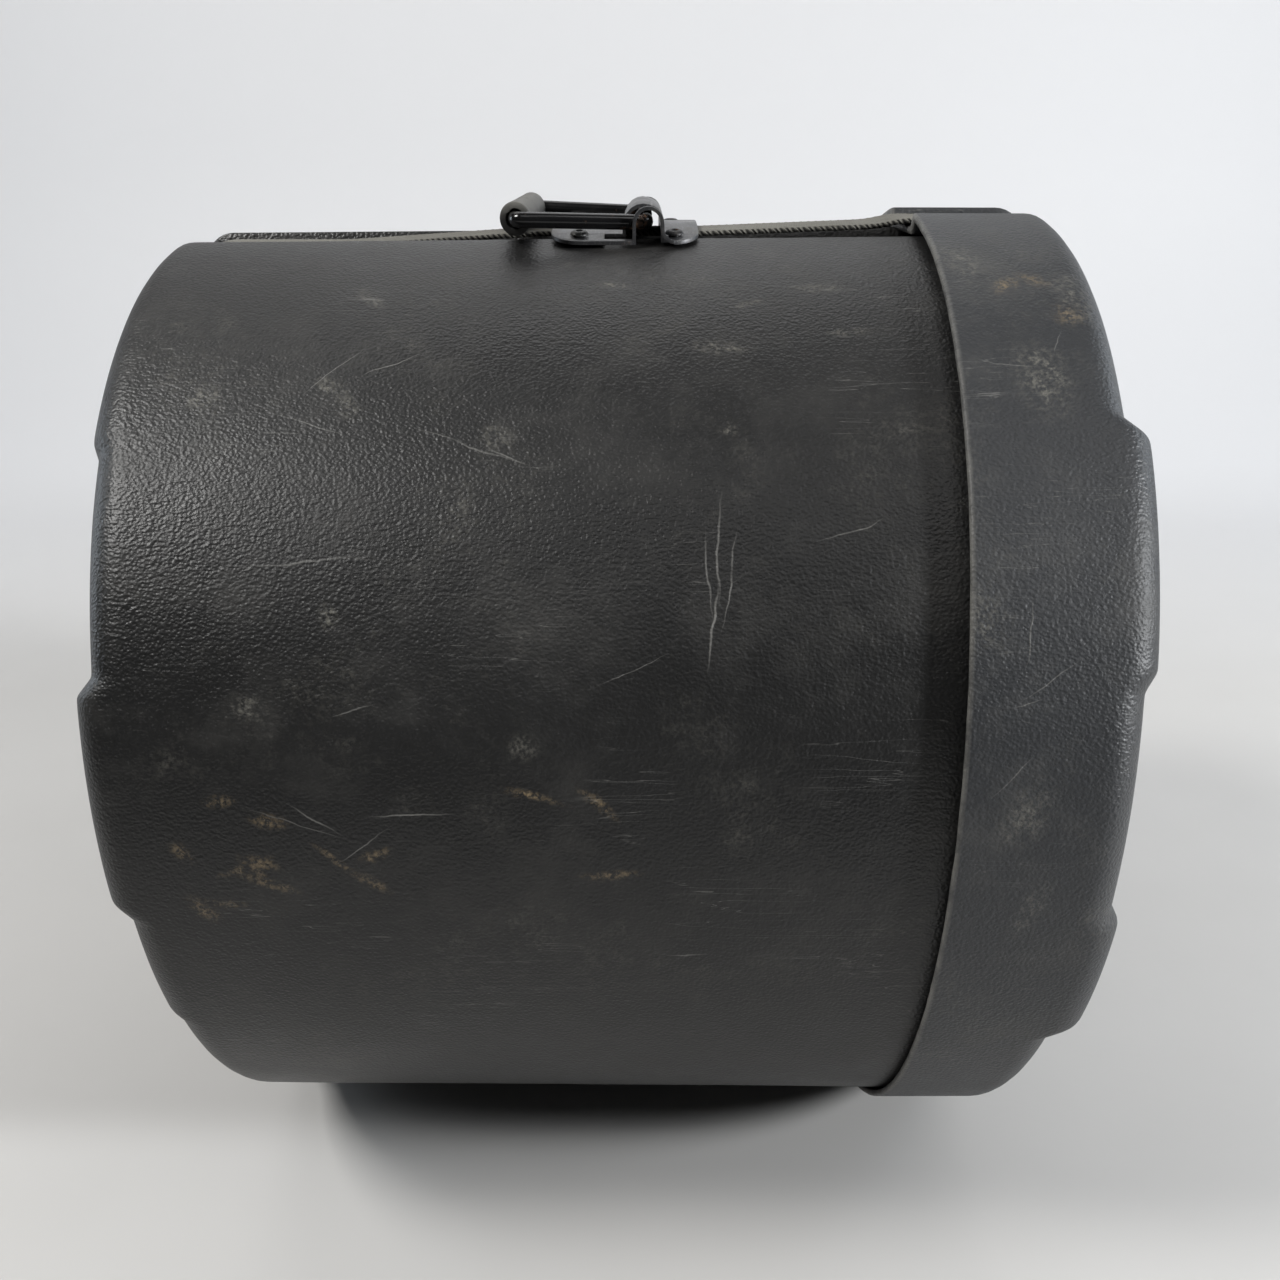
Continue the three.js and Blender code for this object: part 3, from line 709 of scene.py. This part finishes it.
shell_skin = shell_material(
    "moulded_shell", BASE_SCUFFS, BASE_RUBS, BASE_SCRATCHES, BODY_TONES, gloss=0.42, rim=MOUTH_X)
lid_skin = shell_material(
    "moulded_lid", LID_SCUFFS, LID_RUBS, LID_SCRATCHES, LID_TONES, gloss=0.46, rim=RIM_X)
steel = metal_material("bracket_steel", (0.075, 0.076, 0.08), 0.34, 0.6, 0.02)
rod_black = rod_material()
grip_plastic = grip_material()
rivet_metal = metal_material("rivet_metal", (0.03, 0.03, 0.031), 0.4, 0.6, 0.05)
washer_metal = metal_material("washer_metal", (0.35, 0.35, 0.36), 0.38, 1, 0.02)
webbing = webbing_material()
buckle_plastic = moulded_material("buckle_plastic", (0.02, 0.02, 0.021), 0.42, 0.00005, 900, 0.3)
foam = moulded_material("foam", (0.04, 0.04, 0.042), 0.9, 0.0005, 420, 0.15)

# Moulded shells in place of the CAD ones
piece("base_shell_moulded", base_form.mesh("base_shell_moulded"), "case", shell_skin,
      ["base_shell"])
piece("lid_shell_moulded", lid_form.mesh("lid_shell_moulded"), "lid", lid_skin,
      ["lid_shell"])


# Handle
def sweep(name, path, outline_at, sharp=math.radians(50)):
    """Skins an outline along a path of (point, side direction, up direction)."""
    rings = []
    along = [0]
    for i, (centre, side, up) in enumerate(path):
        rings.append([centre + side * (a * MM) + up * (b * MM) for a, b in outline_at(i)])
        if i:
            along.append(along[-1] + (centre - path[i - 1][0]).length)
    count = len(rings[0])
    return grid(name, rings, closed=True, caps=True, sharp=sharp, uv=lambda i, k: (k / count, along[i]))


def bail_points():
    bend = 6
    inner = 24
    slope = (GRIP[1] - HINGE[1]) / (GRIP[0] - HINGE[0])
    corners = [
        (HINGE[0], -inner), (HINGE[0], -LEG_HALF), (GRIP[0], -BAIL_HALF),
        (GRIP[0], BAIL_HALF), (HINGE[0], LEG_HALF), (HINGE[0], inner),
    ]
    flat = [Vector((x, y)) for x, y in corners]
    points = [flat[0]]
    for a, b, c in zip(flat, flat[1:], flat[2:]):
        start = b + (a - b).normalized() * bend
        stop = b + (c - b).normalized() * bend
        gap = (start - points[-1]).length
        for k in range(1, int(gap // 8) + 1):
            points.append(points[-1] + (start - points[-1]).normalized() * 8)
        for k in range(9):
            t = k / 8
            points.append(start * (1 - t) ** 2 + b * 2 * t * (1 - t) + stop * t ** 2)
    points.append(flat[-1])
    return [row(p.x, p.y, HINGE[1] + (p.x - HINGE[0]) * slope) for p in points]


def bail_mesh():
    points = bail_points()
    path = []
    for i, p in enumerate(points):
        ahead = points[min(i + 1, len(points) - 1)] - points[max(i - 1, 0)]
        side = ahead.cross(Vector((0, 0, 1))).normalized()
        path.append((p, side, side.cross(ahead).normalized()))
    ring = [(WIRE / 2 * math.cos(2 * math.pi * k / 20), WIRE / 2 * math.sin(2 * math.pi * k / 20))
            for k in range(20)]
    return sweep("bail_rod", path, lambda i: ring)


def grip_mesh():
    half = GRIP_LENGTH / 2
    outer = GRIP_DIAMETER / 2
    bore = GRIP_BORE / 2
    profile = [(bore, -half + 1.2), (bore + 0.5, -half), (outer - 1, -half), (outer - 0.3, -half + 0.3),
               (outer, -half + 1.1)]
    profile += [(outer - 0.12 * (1 + noise.noise(Vector((k / 3, 5, 2)))), mix(-half + 3, half - 3, k / 14))
                for k in range(15)]
    profile += [(r, -h) for r, h in profile[4::-1]]
    profile.append(profile[0])
    return lathe("grip_sleeve", profile, Matrix.Translation(row(GRIP[0], 0, GRIP[1])))


piece("bail_rod", bail_mesh(), "bail", rod_black, ["bail_wire"])
piece("grip_sleeve", grip_mesh(), "grip", grip_plastic, ["handle_grip"])


def refined(node, name, body, material, bevel):
    """A CAD node's own shape with its edges eased, shown in place of the node."""
    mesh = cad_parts[node].data.copy()
    mesh.materials.clear()
    work = bmesh.new()
    work.from_mesh(mesh)
    bmesh.ops.remove_doubles(work, verts=work.verts, dist=1e-6)
    bmesh.ops.dissolve_limit(work, angle_limit=math.radians(0.6), verts=work.verts, edges=work.edges)
    hard = [e for e in work.edges if len(e.link_faces) == 2 and e.calc_face_angle(0) > math.radians(32)]
    bmesh.ops.bevel(work, geom=hard, offset=bevel * MM, segments=2, profile=0.5, affect="EDGES",
                    clamp_overlap=True)
    bmesh.ops.recalc_face_normals(work, faces=work.faces)
    work.to_mesh(mesh)
    work.free()
    mesh.shade_smooth()
    mesh.set_sharp_from_angle(angle=math.radians(28))
    return piece(name, mesh, body, material, [node])


refined("handle_bracket", "bracket_stamped", "case", steel, 0.35)


# Rivets
def rivet_profile(base, height, tail):
    head = base + height
    return [
        (0, tail - 2.2), (2.9, tail - 2.2), (3.7, tail), (2.4, tail), (2.4, base), (4.1, base),
        (4.1, base + 0.3), (3.95, base + 0.6), (3.5, head - 0.5), (2.8, head - 0.15), (2, head),
        (1.55, head - 0.15), (1.45, head - 1), (0.8, head - 0.9), (0, head - 0.85),
    ]


def plate_line(x, side):
    radius = base_radius(x)
    tilt = math.asin(side * PLATE_RIVET_Y / radius)
    return Matrix.Translation(row(x, side * PLATE_RIVET_Y, radius * math.cos(tilt))) @ Matrix.Rotation(
        math.pi / 2 - tilt, 4, "X")


def face_line(end, x, z):
    return Matrix.Translation(row(end * x, 0, z)) @ Matrix.Rotation(-end * math.pi / 2, 4, "Z")


# A rivet's tail lies behind the wall, its washer and a gap on each side of the washer
WASHER_THICK = 1.5
FIT_GAP = 0.3
tail_top = -WALL - WASHER_THICK - 2 * FIT_GAP
for i, (x, side) in enumerate(PLATE_RIVETS):
    mesh = lathe(f"bracket_rivet_head_{i + 1}", rivet_profile(3.6, 1.6, tail_top), plate_line(x, side), 32)
    piece(mesh.name, mesh, "case", rivet_metal, [f"bracket_rivet_{i + 1}"])
strap_stack = STRAP_LIFT + STRAP_THICK / 2 + FIT_GAP
strap_ends = [(-1, "case", "base_strap", BASE_FACE, 0), (1, "lid", "lid_strap", LID_FACE, LID_LIFT)]
for end, body, name, face, lift in strap_ends:
    for i, side in enumerate((-1, 1)):
        line = face_line(end, face - FACE_CHANNEL, side * FACE_RIVET_Z + lift)
        mesh = lathe(f"{name}_rivet_head_{i + 1}", rivet_profile(strap_stack, 1.6, tail_top), line, 32)
        piece(mesh.name, mesh, body, rivet_metal, [f"{name}_rivet_{i + 1}"])


# Webbing
def arc(a, b, radius, start, stop, steps):
    made = []
    for i in range(steps + 1):
        angle = math.radians(mix(start, stop, i / steps))
        made.append((a + radius * math.cos(angle), b + radius * math.sin(angle)))
    return made


def even(points, step):
    """The same line with points at even steps."""
    made = [points[0]]
    left = step
    for a, b in zip(points, points[1:]):
        length = math.dist(a, b)
        at = left
        while at < length:
            made.append((mix(a[0], b[0], at / length), mix(a[1], b[1], at / length)))
            at += step
        left = at - length
    made.append(points[-1])
    return made


def eased(points, rounds):
    for _ in range(rounds):
        inner = [((a[0] + 2 * b[0] + c[0]) / 4, (a[1] + 2 * b[1] + c[1]) / 4)
                 for a, b, c in zip(points, points[1:], points[2:])]
        points = [points[0]] + inner + [points[-1]]
    return points


def strap_mesh(name, points):
    step = 0.9
    line = eased(even(points, step), 30)
    half = STRAP_WIDTH / 2
    thick = STRAP_THICK / 2
    path = []
    for i, (x, z) in enumerate(line):
        (xa, za), (xb, zb) = line[max(i - 1, 0)], line[min(i + 1, len(line) - 1)]
        ahead = Vector((xb - xa, 0, zb - za)).normalized()
        side = Vector((0, 1, 0))
        path.append((row(x, 0, z), side, ahead.cross(side) * -1))

    def outline_at(i):
        tooth = 0.35 if i % 2 else 0
        ridge = 0.12 if i % 2 else 0
        across = [k / 10 * (half - 1.2) for k in range(-10, 11)]
        over = [(y, thick - 0.15 + (ridge if (k + i // 2) % 2 else 0)) for k, y in enumerate(across)]
        right = [(half - 0.5 - tooth, thick * 0.75), (half - tooth, 0), (half - 0.5 - tooth, -thick * 0.75)]
        return over + right + [(y, -z) for y, z in reversed(over)] + [(-y, z) for y, z in reversed(right)]

    return sweep(name, path, outline_at, sharp=math.radians(70))


strap_run = CHANNEL_RADIUS + STRAP_LIFT
lid_run = LID_CHANNEL_RADIUS + STRAP_LIFT
bend = CHANNEL_FILLET + STRAP_LIFT
base_hub = -(BASE_FACE - FACE_CHANNEL - CHANNEL_FILLET)
base_corner = CHANNEL_RADIUS - CHANNEL_FILLET
lid_hub = LID_FACE - FACE_CHANNEL - CHANNEL_FILLET
lid_corner = LID_CHANNEL_RADIUS - CHANNEL_FILLET
split = PLATE_RIGHT - 12

base_path = [(split - 0.3, STRAP_UNDER_PLATE), (PLATE_LEFT - 6, STRAP_UNDER_PLATE), (-130, strap_run)]
base_path += arc(base_hub, base_corner, bend, 90, 180, 12)
base_path += arc(base_hub, -base_corner, bend, 180, 270, 12)
base_path.append((68, -strap_run))
lid_path = [(split, STRAP_UNDER_PLATE), (PLATE_RIGHT + 2, STRAP_UNDER_PLATE),
            (RIM_X - 14, lid_run + LID_LIFT - 2.2), (RIM_X - 1, lid_run + LID_LIFT + 0.4),
            (RIM_X + 10, lid_run + LID_LIFT)]
lid_path += [(x, z + LID_LIFT) for x, z in arc(lid_hub, lid_corner, bend, 90, 0, 12)]
lid_path += [(x, z + LID_LIFT) for x, z in arc(lid_hub, -lid_corner, bend, 0, -90, 12)]
lid_path.append((112.3, LID_LIFT - lid_run))

base_band = strap_mesh("base_webbing", base_path)
piece("base_webbing", base_band, "case", webbing, ["base_strap"])
lid_band = strap_mesh("lid_webbing", lid_path)
lid_webbing = piece("lid_webbing", lid_band, None, webbing, ["lid_strap"])
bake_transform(lid_webbing)

# Buckle
refined("buckle_body", "buckle_body_moulded", "case", buckle_plastic, 0.6)
refined("buckle_insert", "buckle_insert_moulded", "lid", buckle_plastic, 0.6)
refined("buckle_prong_near", "buckle_prong_near_moulded", "prong_near", buckle_plastic, 0.6)
refined("buckle_prong_far", "buckle_prong_far_moulded", "prong_far", buckle_plastic, 0.6)

# Washers keep their CAD shape
for name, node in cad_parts.items():
    if "washer" in name:
        node.data.materials.clear()
        node.data.materials.append(washer_metal)

# Foam pads
for end, body in (("base", "case"), ("lid", "lid")):
    pad = refined(f"{end}_foam_pad", f"{end}_foam_cut", body, foam, 1.5)


# Floor, light and camera
def stage_floor():
    n = Nodes("studio_floor")
    here = n.where()
    split = n.add("ShaderNodeSeparateXYZ")
    n.put(split.inputs[0], here)
    shade = n.blend(n.noise(here, 5, 3), (0.55, 0.54, 0.525, 1), (0.61, 0.60, 0.585, 1))
    shade = n.blend(n.span(split.outputs["Y"], 0.5, 1.3), shade, (0.80, 0.80, 0.81, 1))
    n.surface(shade, 0.6, n.bump(n.noise(here, 120, 3), 0.0002, 0.3))
    profile = [(-2.6, 0), (1.1, 0)]
    profile += [(1.1 + 0.5 * math.sin(math.radians(a)), 0.5 - 0.5 * math.cos(math.radians(a)))
                for a in range(6, 91, 6)]
    profile.append((1.6, 3))
    rings = [[Vector((x, y, z)) for y, z in profile] for x in (-4, -2, 0, 2, 4)]
    mesh = grid("studio_floor", rings, closed=False)
    obj = bpy.data.objects.new("studio_floor", mesh)
    bpy.context.scene.collection.objects.link(obj)
    mesh.materials.append(n.material)


def area_light(name, place, target, size, power, color):
    data = bpy.data.lights.new(name, "AREA")
    data.shape = "RECTANGLE"
    data.size, data.size_y = size
    data.energy = power
    data.color = color
    light = bpy.data.objects.new(name, data)
    bpy.context.scene.collection.objects.link(light)
    light.location = place
    light.rotation_euler = (Vector(target) - Vector(place)).to_track_quat("-Z", "Y").to_euler()


stage_floor()
area_light("ceiling_left", (-1.2, -0.5, 1.75), (-0.1, 0, 0.3), (0.55, 0.55), 27, (1, 0.99, 0.97))
area_light("ceiling_right", (0.95, -0.55, 2.15), (0, 0, 0.25), (0.9, 0.9), 5, (1, 0.99, 0.98))
area_light("ceiling_front", (0, -1.1, 2.15), (0, 0, 0.25), (1.0, 0.8), 2.5, (1, 0.99, 0.98))
area_light("ceiling_back", (-0.2, 1.0, 2.15), (0, 0, 0.25), (1.8, 0.9), 7, (1, 0.99, 0.98))
area_light("window_back", (0, 1.8, 1.5), (0, 0, 0.3), (1.4, 0.8), 8, (0.94, 0.97, 1))
area_light("right_key", (1.95, -0.78, 1.0), (0.05, 0, 0.25), (0.28, 0.28), 46, (0.96, 0.98, 1))
area_light("left_edge", (-1.9, 0.5, 0.7), (-0.2, 0, 0.3), (0.6, 0.9), 6, (0.84, 0.92, 1))
area_light("right_edge", (1.7, 0.7, 1.0), (0.2, 0, 0.3), (0.7, 0.9), 5, (0.84, 0.92, 1))

world = bpy.data.worlds.new("soft_room")
world.use_nodes = True
world.node_tree.nodes["Background"].inputs[0].default_value = (0.9, 0.93, 1, 1)
world.node_tree.nodes["Background"].inputs[1].default_value = 0.012
bpy.context.scene.world = world

camera_data = bpy.data.cameras.new("camera")
camera = bpy.data.objects.new("camera", camera_data)
bpy.context.scene.collection.objects.link(camera)
camera_data.sensor_width = 36
camera_data.lens = 33.155
camera_data.shift_y = 0.1447
camera.location = (0.0113, -0.6238, 0.4994)
camera.rotation_euler = (math.radians(59.61), 0, 0)
bpy.context.scene.camera = camera
bpy.context.scene.view_settings.view_transform = "Standard"
